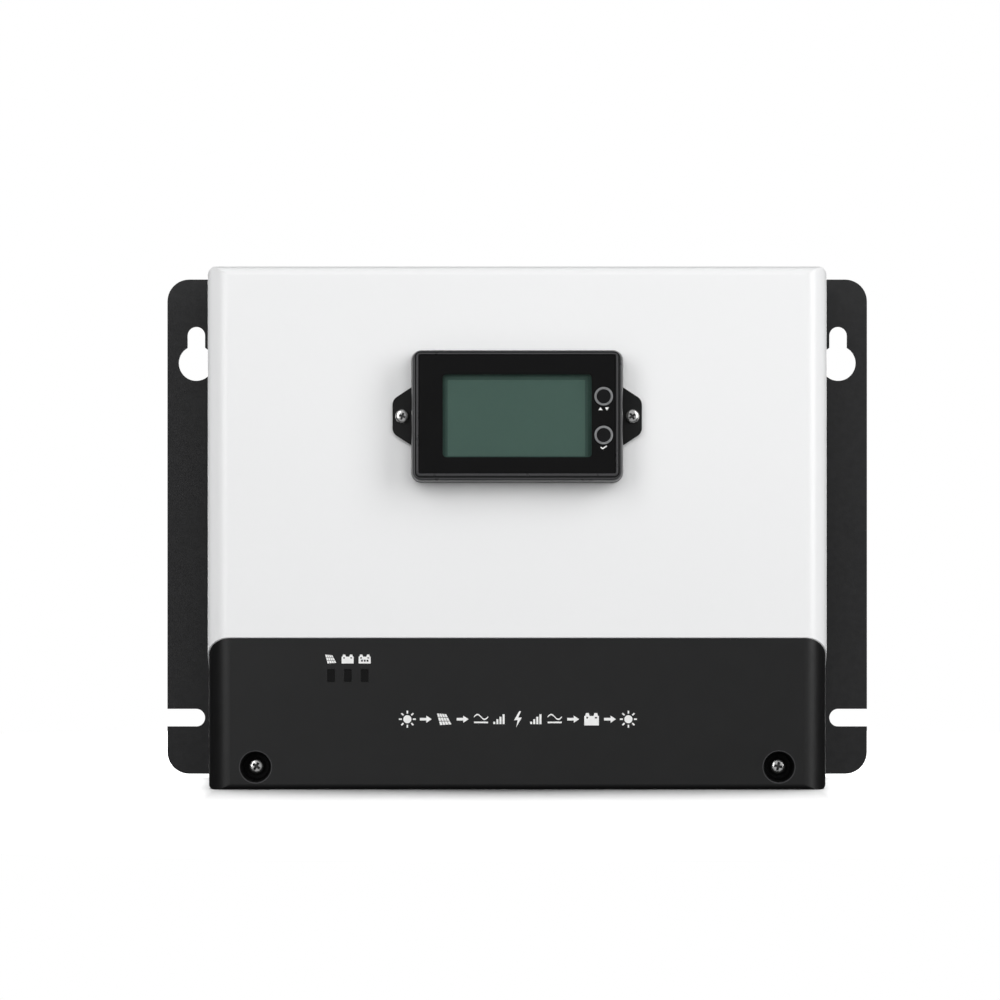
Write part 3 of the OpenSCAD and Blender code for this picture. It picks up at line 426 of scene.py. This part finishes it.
# ---------- materials ----------

def case_materials():
    return [
        surface("powder_coat_black", (0.0155, 0.0155, 0.0162), 0.58, specular=0.3, tint=0.12, tint_mm=3,
                grain_mm=0.9, grain_um=45),
        surface("anodised_black", (0.022, 0.022, 0.024), 0.42, specular=0.6, tint=0.10, grain_mm=0.5,
                grain_um=12, stretch=(1, 1, 0.03)),
        surface("shell_white", (0.82, 0.822, 0.824), 0.28, specular=0.6, tint=0.006, tint_mm=120,
                grain_mm=0.5, grain_um=3, rough_spread=0.006),
        surface("cover_black", (0.0048, 0.0048, 0.0050), 0.42, specular=0.42, tint=0.08, grain_mm=0.5,
                grain_um=6),
        # darker than the cover's own black: painted shade inside the cover's screw recesses
        surface("recess_shade_black", (0.0015, 0.0015, 0.0016), 0.6, specular=0.1, grain_um=0),
        surface("smoked_light_pipe", (0.0028, 0.0028, 0.0028), 0.3, specular=0.2, grain_um=1),
        surface("print_white", (0.80, 0.80, 0.79), 0.5, tint=0.05, tint_mm=4, grain_mm=0.3, grain_um=6),
    ]


def display_materials():
    return [
        surface("display_black", (0.006, 0.006, 0.0063), 0.34, specular=0.25, tint=0.08, grain_mm=0.4,
                grain_um=5),
        surface("display_frame", (0.045, 0.045, 0.047), 0.28, tint=0.04, grain_um=0, rough_spread=0.01),
        surface("overlay_black", (0.0033, 0.0033, 0.0035), 0.36, specular=0.12, tint=0.06, grain_mm=0.3,
                grain_um=2),
        clear_window("window_clear"),
        surface("lcd_green", (0.080, 0.147, 0.121), 0.35, specular=0.15, tint=0.02, grain_um=0),
        surface("lcd_edge_outer", (0.036, 0.076, 0.062), 0.4, specular=0.1, grain_um=0),
        surface("lcd_edge_inner", (0.050, 0.094, 0.078), 0.4, specular=0.1, grain_um=0),
        surface("diffuser_white", (0.75, 0.77, 0.75), 0.5),
        surface("button_black", (0.004, 0.004, 0.0045), 0.5, specular=0.15),
        surface("ring_grey", (0.25, 0.255, 0.26), 0.4, tint=0.05, grain_um=2),
        surface("ribbon_grey", (0.36, 0.37, 0.39), 0.5, stretch=(40, 1, 1)),
    ]


def metal_materials():
    return [
        surface("screw_nickel", (0.88, 0.875, 0.865), 0.24, metal=1.0, tint=0.05, tint_mm=3, grain_mm=0.25,
                grain_um=2),
        surface("screw_zinc", (0.56, 0.57, 0.58), 0.32, metal=1.0, tint=0.08, tint_mm=3, grain_mm=0.25,
                grain_um=4),
        # dark metal for the inside of the screws' cross recesses: painted shade
        surface("screw_recess", (0.09, 0.09, 0.09), 0.35, metal=0.8, tint_mm=2, grain_um=4),
        surface("brass", (0.62, 0.44, 0.17), 0.28, metal=1.0, tint=0.08, tint_mm=4, grain_um=4),
        surface("tinned_brass", (0.60, 0.55, 0.44), 0.36, metal=1.0, tint=0.1, tint_mm=4, grain_um=6),
        surface("copper_wire", (0.55, 0.20, 0.06), 0.24, metal=0.85, tint=0.1, tint_mm=6),
        surface("copper_bar", (0.66, 0.33, 0.18), 0.3, metal=1.0, tint=0.1, tint_mm=8),
        surface("shunt_alloy", (0.42, 0.37, 0.33), 0.4, metal=1.0),
    ]


def inner_materials():
    return [
        circuit_board("circuit_green", (0.012, 0.10, 0.035), (0.03, 0.20, 0.06)),
        circuit_board("circuit_blue", (0.010, 0.04, 0.12), (0.02, 0.09, 0.22)),
        surface("epoxy_black", (0.012, 0.012, 0.012), 0.55, grain_mm=0.3, grain_um=8),
        surface("thermal_pad", (0.28, 0.34, 0.40), 0.7, specular=0.2, grain_um=10),
        surface("ferrite_core", (0.26, 0.27, 0.06), 0.6, grain_mm=0.8, grain_um=25),
        surface("capacitor_sleeve", (0.012, 0.014, 0.030), 0.3, tint=0.08),
        surface("fuse_green", (0.02, 0.26, 0.06), 0.25, transmission_weight=0.25),
        surface("transformer_tape", (0.62, 0.46, 0.04), 0.35),
        surface("connector_black", (0.012, 0.012, 0.012), 0.5, specular=0.35, grain_um=10),
        surface("connector_green", (0.02, 0.24, 0.07), 0.4),
        surface("connector_grey", (0.55, 0.55, 0.56), 0.35, metal=0.9),
        surface("led_lens", (0.72, 0.74, 0.66), 0.2, transmission_weight=0.3),
        surface("fan_black", (0.012, 0.012, 0.013), 0.45, specular=0.4, grain_um=10),
        surface("wire_black", (0.015, 0.015, 0.015), 0.45, specular=0.35),
    ]


def make_materials():
    """All materials by name, without the number that Blender adds to a name already taken."""
    made = case_materials() + display_materials() + metal_materials() + inner_materials()
    return {material.name.split(".")[0]: material for material in made}


def dress_nodes():
    """Every CAD node gets the material of its slot."""
    for part in frame["record"]["subparts"]:
        finish = frame["nodes"][part["node"]].data.materials
        finish.clear()
        finish.append(MATERIALS[part["material_slot"]])


# ---------- display ----------

FRAME_SECTIONS = (         # half width, half height, corner radius, rise of the middle, depth from the front
    (42.75, 25.75, 0.6, 0.74, 1.10),
    (42.80, 25.80, 0.7, 0.74, 0.25),
    (43.00, 26.00, 0.9, 0.72, 0.00),
    (43.65, 26.55, 1.7, 0.60, 0.00),
    (43.85, 26.75, 1.9, 0.55, 0.15),
    (43.92, 26.85, 2.0, 0.50, 0.70),
    (44.38, 27.27, 2.3, 0.45, 0.70),
    (44.45, 27.37, 2.5, 0.40, 0.25),
    (44.65, 27.60, 3.0, 0.30, 0.15),
    (45.05, 27.95, 3.5, 0.15, 0.45),
    (45.45, 28.25, 4.0, 0.05, 1.25),
    (45.75, 28.45, 4.3, 0.00, 2.40),
    (45.90, 28.55, 4.4, 0.00, 3.49),
    (45.10, 27.75, 3.6, 0.00, 3.49),
    (43.60, 26.50, 1.5, 0.50, 2.40),
)
GROOVE = range(4, 7)       # the stretches between sections that are its dark groove
OVERLAY_OUTLINE = (42.7, 25.7, 0.6)            # half width, half height, corner radius
OVERLAY_RISE = 0.74
WINDOW_OUTLINE = (32.3, 18.0, 1.6)
BUTTON_HOLE = 4.12
BACKING_OUTLINE = (43.0, 26.0, 0.6)
BACKING_RISE = 0.5
BACKING_WINDOW = (33.5, 19.2, 0.5)
BACKING_HOLE = 3.62
BACKING_DEPTH = (0.76, 1.58)                   # behind the overlay's face
LCD_OUTLINE = (-33.2, 33.0, -18.9, 18.9)       # left, right, low and high, about the display's middle
LCD_EDGES = (                                  # name, clear part of the LCD, height above the LCD's face
    ("lcd_edge_outer", (-31.2, 30.7, -17.7, 16.9), 0.12),
    ("lcd_edge_inner", (-30.2, 29.5, -17.4, 15.6), 0.06),
)
LCD_EDGE_THICK = 0.05
RING_PROFILE = ((3.46, 0.70), (3.46, -0.08), (3.54, -0.18), (3.86, -0.18), (3.98, -0.08), (4.08, 0.70))
BUTTON_EDGE_PROFILE = ((3.10, 0.05), (3.10, -0.04), (3.18, -0.08), (3.36, 0.04), (3.40, 0.20), (3.30, 0.30))
MARKS_DROP = 5.4                               # below the middle of each button
MARKS_DEPTH = (-0.06, 0.01)                    # from the overlay's face


def about_display(outline, rise=0.0):
    """A rounded rectangle about the display's middle."""
    return rounded(*outline, (DISPLAY.x, DISPLAY.z + rise))


def display_frame():
    """The front frame, with a dark groove along its face."""
    front = box_mm("display_bezel")[0].y
    rim = sweep("display_rim", [
        (about_display(outline, rise), front + depth) for *outline, rise, depth in FRAME_SECTIONS
    ], MATERIALS["display_frame"])
    rim.data.materials.append(MATERIALS["display_black"])
    per_band = len(rim.data.polygons) // len(FRAME_SECTIONS)
    for face in rim.data.polygons[GROOVE.start * per_band:GROOVE.stop * per_band]:
        face.material_index = 1
    settle(rim, "chassis", "display_black", "display_bezel")


def display_front(face, back):
    """The printed face plate, with its window and two round holes for the buttons."""
    holes = [disc(button.x, button.z, BUTTON_HOLE) for button in BUTTONS.values()]
    loops = [about_display(OVERLAY_OUTLINE, OVERLAY_RISE), about_display(WINDOW_OUTLINE), *holes]
    overlay = plate("display_front", loops, face, back, MATERIALS["overlay_black"])
    settle(overlay, "chassis", "overlay_black", "display_overlay")


def display_backing(face):
    """The dark plate behind the printed one, around the window and the buttons."""
    holes = [disc(button.x, button.z, BACKING_HOLE) for button in BUTTONS.values()]
    loops = [about_display(BACKING_OUTLINE, BACKING_RISE), about_display(BACKING_WINDOW), *holes]
    front, back = (face + depth for depth in BACKING_DEPTH)
    backing = plate("display_backing", loops, front, back, MATERIALS["display_black"])
    settle(backing, "chassis", "display_black")


def lcd_edges():
    """Two steps of shade around the LCD, where the frame keeps the light off it."""
    def about_middle(left, right, low, high):
        return box_loop(DISPLAY.x + left, DISPLAY.x + right, DISPLAY.z + low, DISPLAY.z + high)

    for name, clear_part, height in LCD_EDGES:
        y = box_mm("lcd_panel")[0].y - height
        loops = [about_middle(*LCD_OUTLINE), about_middle(*clear_part)]
        settle(plate(name, loops, y, y + LCD_EDGE_THICK, MATERIALS[name]), "chassis", "lcd_green")


def button_rings(face):
    """A grey ring around each button, and a fine edge that moves with the button."""
    grey = MATERIALS["ring_grey"]
    replaced = ["button_rings"]
    for body, button in BUTTONS.items():
        ring = turned("ring_" + body, button.x, button.z, RING_PROFILE, grey, face, closed=True)
        settle(ring, "chassis", "ring_grey", *replaced)
        cap = box_mm(body)[0].y
        edge = turned("edge_" + body, button.x, button.z, BUTTON_EDGE_PROFILE, grey, cap, closed=True)
        settle(edge, body, "ring_grey")
        replaced = []


def button_marks(face):
    """Small printed signs under the buttons: two arrowheads, and a tick."""
    x, z = BUTTONS["select_button"].x, BUTTONS["select_button"].z - MARKS_DROP
    arrows = [[(x - 2.3, z - 0.6), (x - 0.5, z - 0.6), (x - 1.4, z + 0.7)],
              [(x + 0.5, z + 0.6), (x + 2.3, z + 0.6), (x + 1.4, z - 0.7)]]
    x, z = BUTTONS["enter_button"].x, BUTTONS["enter_button"].z - MARKS_DROP
    tick = [(x - 1.5, z + 0.05), (x - 1.15, z + 0.4), (x - 0.45, z - 0.25), (x + 1.15, z + 0.85),
            (x + 1.5, z + 0.5), (x - 0.45, z - 0.85)]
    front, back = (face + depth for depth in MARKS_DEPTH)
    marks = plate("button_marks", [*arrows, tick], front, back, MATERIALS["print_white"])
    settle(marks, "chassis", "ring_grey")


def display_parts():
    """Everything on the display's front."""
    low, high = box_mm("display_overlay")
    display_frame()
    display_front(low.y, high.y)
    display_backing(low.y)
    lcd_edges()
    button_rings(low.y)
    button_marks(low.y)


# ---------- screws ----------

# A head's outline, as shares of its radius and height, from the seat to the middle of its top
PAN_HEAD = ((1.0, 0.0), (1.0, 0.42), (0.97, 0.62), (0.89, 0.78), (0.74, 0.89), (0.50, 0.97), (0.12, 1.0))
FLAT_HEAD = ((1.0, 0.0), (0.97, 0.75), (0.90, 1.0), (0.12, 1.0))

# Head, head radius and height, recess depth, shank radius and length
COVER_SCREW = (PAN_HEAD, 3.6, 2.9, 2.2, 1.98, 13)
DISPLAY_SCREW = (PAN_HEAD, 3.1, 2.2, 1.7, 1.5, 11)
FAN_SCREW = (FLAT_HEAD, 2.9, 0.35, 0.9, 1.4, 9)

TIP_LENGTH = 0.6
TIP_STEP = 0.5             # how much thinner than the shank the tip ends
RECESS_REACH = 0.58        # share of the head's radius
ARM_TOP = (1.06, 0.30)     # half length and half width of a recess arm, as shares of the reach
ARM_BOTTOM = (0.5, 0.20)
ABOVE_HEAD = 1             # how far the cutters stand proud

COVER_SEAT = (3.7, 2.8)    # head radius and height of the CAD screws
DISPLAY_SEAT = (3.2, 2.3)
FAN_HOLES = (-20, 20)      # from the middle of a fan, both ways


def screw_seats(node, head_radius, head_height):
    """The middle of the seat under each of the two heads in a CAD node, left and right."""
    low, high = box_mm(node)
    across = (high.x - low.x) / 2 - head_radius
    return [Vector((side * across, low.y + head_height, (low.z + high.z) / 2)) for side in SIDES]


def recess_arm(turn, reach, top, bottom, slot):
    """A tapered bar across the screw's line: half of the tool that cuts a cross recess, and it paints the
    recess dark as painted shade.
    """
    spin = Matrix.Rotation(math.radians(turn), 4, "Y")
    arm = bmesh.new()
    bmesh.ops.create_cube(arm, size=1)
    for vert in arm.verts:
        y, shares = (bottom, ARM_BOTTOM) if vert.co.y > 0 else (top, ARM_TOP)
        half_long, half_wide = (share * reach for share in shares)
        spot = spin @ Vector((math.copysign(half_long, vert.co.x), 0, math.copysign(half_wide, vert.co.z)))
        vert.co = Vector((spot.x, y, spot.z)) * MM
    cutter = piece_from("cutter", arm, MATERIALS[slot])
    cutter.data.materials.append(MATERIALS["screw_recess"])
    for face in cutter.data.polygons:
        face.material_index = 1
    return cutter


def cross_screw(name, kind, slot, place, turn, body, *replaced):
    """A screw with a tapered cross recess, painted dark inside as painted shade. Its seat is at place's
    origin, and its head faces place's -Y.
    """
    head, radius, height, depth, shank_radius, length = kind
    profile = [(radius * r, -height * h) for r, h in reversed(head)]
    profile += [(shank_radius, 0), (shank_radius, length - TIP_LENGTH), (shank_radius - TIP_STEP, length)]
    screw = turned(name, 0, 0, profile, MATERIALS[slot])
    screw.data.materials.append(MATERIALS["screw_recess"])
    reach, top, bottom = radius * RECESS_REACH, -height - ABOVE_HEAD, depth - height
    carve(screw, [recess_arm(turn + quarter, reach, top, bottom, slot) for quarter in (0, 90)])
    screw.data.transform(place)
    settle(screw, body, slot, *replaced)


def front_screws():
    """The cover's two screws, and the display's two."""
    for node, kind, seat_size, body, turns in (
            ("cover_screws", COVER_SCREW, COVER_SEAT, "terminal_cover", (33, 12)),
            ("display_screws", DISPLAY_SCREW, DISPLAY_SEAT, "chassis", (20, 55))):
        replaced = [node]
        for side, seat, turn in zip(SIDES, screw_seats(node, *seat_size), turns):
            place = Matrix.Translation(seat * MM)
            cross_screw(f"{node[:-1]}_{side}", kind, "screw_nickel", place, turn, body, *replaced)
            replaced = []


def fan_screws():
    """Four thin flat heads around each fan, on top of the shell."""
    facing_up = Matrix.Rotation(math.radians(-90), 4, "X")
    replaced = ["fan_screws"]
    for fan in ("fan_left", "fan_right"):
        middle = centre(fan + "_frame")
        for dx in FAN_HOLES:
            for dy in FAN_HOLES:
                name = f"{fan}_screw_{dx}_{dy}"
                seat = Vector((middle.x + dx, middle.y + dy, SHELL_HIGH.z)) * MM
                place = Matrix.Translation(seat) @ facing_up
                cross_screw(name, FAN_SCREW, "screw_zinc", place, dx + dy, "chassis", *replaced)
                replaced = []


# ---------- screw recesses in the cover ----------

CUP_MOUTH = (6.80, 6.90)       # inner and outer radius
CUP_FOOT = (5.48, 5.56)
CUP_HOLE = 2.5
CUP_DEPTH = 0.45               # of its mouth behind the cover's face
CUP_RISE = (0.28, 0.20, 0.05)  # of its inner corner, its hole's edge and its underside above the seat
LIP_PROFILE = ((7.30, 0.05), (7.18, -0.06), (6.98, -0.04), (6.74, 0.35), (6.86, 0.55))


def cover_recesses():
    """Black cups around the cover's screws, darker than the cover as painted shade, each with a fine lip that
    catches the light and is lighter grey as a painted highlight.
    """
    for side, seat in zip(SIDES, screw_seats("cover_screws", *COVER_SEAT)):
        corner, edge, underside = (seat.y - COVER_LOW.y - rise for rise in CUP_RISE)
        # the cup is the cover's own plastic, and its darker black is painted shade
        cup = turned(f"recess_cup_{side}", seat.x, seat.z, (
            (CUP_MOUTH[0], CUP_DEPTH), (CUP_FOOT[0], corner), (CUP_HOLE, edge),
            (CUP_HOLE, underside), (CUP_FOOT[1], underside), (CUP_MOUTH[1], CUP_DEPTH),
        ), MATERIALS["recess_shade_black"], COVER_LOW.y, closed=True)
        settle(cup, "terminal_cover", "cover_black")
        # the lip is lighter grey than the black cover: a painted highlight on a real edge that also catches
        # the light
        lip = turned(f"recess_highlight_lip_{side}", seat.x, seat.z, LIP_PROFILE, MATERIALS["display_frame"],
                     COVER_LOW.y, closed=True)
        settle(lip, "terminal_cover", "cover_black")


# ---------- printed signs on the cover ----------

PRINT_DEPTH = (-0.04, 0.1)     # from the cover's face
SIGN_HEIGHT = 5.4
LIGHT_HALF_WIDTH = 2.3
LIGHT_SIGNS_RISE = 7.2         # above the middle of the status lights
LIGHT_SIGNS_NUDGE = 0.1        # of the first two signs to the left
LIGHT_PANEL = (5.1, 4.1)       # width and height
LIGHT_BATTERY = (5.25, 3.9)
ROW_ENDS = (-48.0, 48.6)       # the middles of the first and last sign
ROW_DROP = 19.1                # below the middle of the status lights


def panel_sign(x, z, w, h=SIGN_HEIGHT):
    """A leaning solar panel: a grid of cells."""
    corners = ((-0.5, 0.5), (0.14, 0.42), (0.5, -0.44), (-0.28, -0.5))       # from the top left, clockwise
    columns, rows, gap = 4, 3, 0.08
    cell = ((gap, gap), (1 - gap, gap), (1 - gap, 1 - gap), (gap, 1 - gap))

    def spot(u, v):
        top = [a + (b - a) * u for a, b in zip(corners[0], corners[1])]
        low = [a + (b - a) * u for a, b in zip(corners[3], corners[2])]
        across, up = (a + (b - a) * v for a, b in zip(top, low))
        return (x + w * across, z + h * up)

    return [[spot((i + du) / columns, (j + dv) / rows) for du, dv in cell]
            for i in range(columns) for j in range(rows)]


def battery_sign(x, z, w, h=SIGN_HEIGHT, bars=0):
    """A battery with two terminals, its two pole marks, and any number of charge bars."""
    top = z + h * 0.26
    outline = [(x - w / 2, z - h / 2), (x + w / 2, z - h / 2), (x + w / 2, top), (x + w * 0.44, top),
               (x + w * 0.38, z + h / 2), (x + w * 0.20, z + h / 2), (x + w * 0.13, top), (x - w * 0.13, top),
               (x - w * 0.20, z + h / 2), (x - w * 0.38, z + h / 2), (x - w * 0.44, top), (x - w / 2, top)]
    loops = [outline, disc(x - w * 0.30, z + h * 0.12, w * 0.07, 12),
             box_loop(x + w * 0.22, x + w * 0.38, z + h * 0.06, z + h * 0.18)]
    for bar in range(bars):
        left = x - w * 0.30 + bar * w * 0.23
        loops.append(box_loop(left, left + w * 0.15, z - h * 0.30, z - h * 0.08))
    return loops


def sun_sign(x, z, size):
    """A disc with eight rays."""
    loops = [disc(x, z, size * 0.24, 24)]
    for ray in range(8):
        turn = math.radians(45 * ray)
        inner, outer = ((x + reach * math.cos(turn), z + reach * math.sin(turn))
                        for reach in (size * 0.33, size * 0.5))
        loops.append(line_loop(inner, outer, size * 0.09))
    return loops


def arrow_sign(x, z, size):
    """An arrow to the right."""
    w, t = size * 0.5, size * 0.11
    return [[(x - w, z - t), (x + w * 0.1, z - t), (x + w * 0.1, z - size * 0.3), (x + w, z),
             (x + w * 0.1, z + size * 0.3), (x + w * 0.1, z + t), (x - w, z + t)]]


def wave_sign(x, z, size):
    """A sine wave over a straight line, for alternating and direct current."""
    steps = 20
    path = [(x + size * (i / steps - 0.5), z + size * 0.16 + size * 0.17 * math.sin(2 * math.pi * i / steps))
            for i in range(steps + 1)]
    t = size * 0.05
    return [[(px, pz - t) for px, pz in path] + [(px, pz + t) for px, pz in reversed(path)],
            box_loop(x - size / 2, x + size / 2, z - size * 0.28, z - size * 0.17)]


def levels_sign(x, z, size, count=4):
    """Bars that rise from left to right."""
    step = size / count
    return [box_loop(x - size / 2 + i * step, x - size / 2 + (i + 0.66) * step, z - size * 0.4,
                     z - size * 0.4 + size * 0.8 * (i + 1) / count) for i in range(count)]


def bolt_sign(x, z, size):
    """A lightning flash."""
    shape = ((0.08, 0.5), (-0.24, -0.06), (-0.02, -0.06), (-0.10, -0.5), (0.24, 0.1), (0.02, 0.1), (0.2, 0.5))
    return [[(x + u * size, z + v * size) for u, v in shape]]


def print_on_cover(name, loops):
    """A thin layer of print on the cover's face."""
    front, back = (COVER_LOW.y + depth for depth in PRINT_DEPTH)
    settle(plate(name, loops, front, back, MATERIALS["print_white"]), "terminal_cover", "ring_grey")


def light_signs():
    """What each status light stands for: the panels, the battery, and its charge."""
    low, high = box_mm("light_pipes")
    z = (low.z + high.z) / 2 + LIGHT_SIGNS_RISE
    loops = panel_sign(low.x + LIGHT_HALF_WIDTH - LIGHT_SIGNS_NUDGE, z, *LIGHT_PANEL)
    loops += battery_sign((low.x + high.x) / 2 - LIGHT_SIGNS_NUDGE, z, *LIGHT_BATTERY)
    loops += battery_sign(high.x - LIGHT_HALF_WIDTH, z, *LIGHT_BATTERY, bars=3)
    print_on_cover("light_signs", loops)


def front_signs():
    """A row of signs for the way from sun to stored power."""
    row = ((sun_sign, 7.4), (arrow_sign, 5.2), (panel_sign, 6.6), (arrow_sign, 5.2), (wave_sign, 6.2),
           (levels_sign, 5.4), (bolt_sign, 7.0), (levels_sign, 5.4), (wave_sign, 6.2), (arrow_sign, 5.2),
           (battery_sign, 6.4), (arrow_sign, 5.2), (sun_sign, 7.4))
    left, right = ROW_ENDS
    z = centre("light_pipes").z - ROW_DROP
    loops = []
    for i, (sign, size) in enumerate(row):
        loops += sign(left + (right - left) * i / (len(row) - 1), z, size)
    print_on_cover("front_signs", loops)


bpy.context.scene.view_settings.view_transform = "Standard"
MATERIALS = make_materials()
add_camera()
add_world()
add_lights()
dress_nodes()
display_parts()
front_screws()
fan_screws()
cover_recesses()
light_signs()
front_signs()
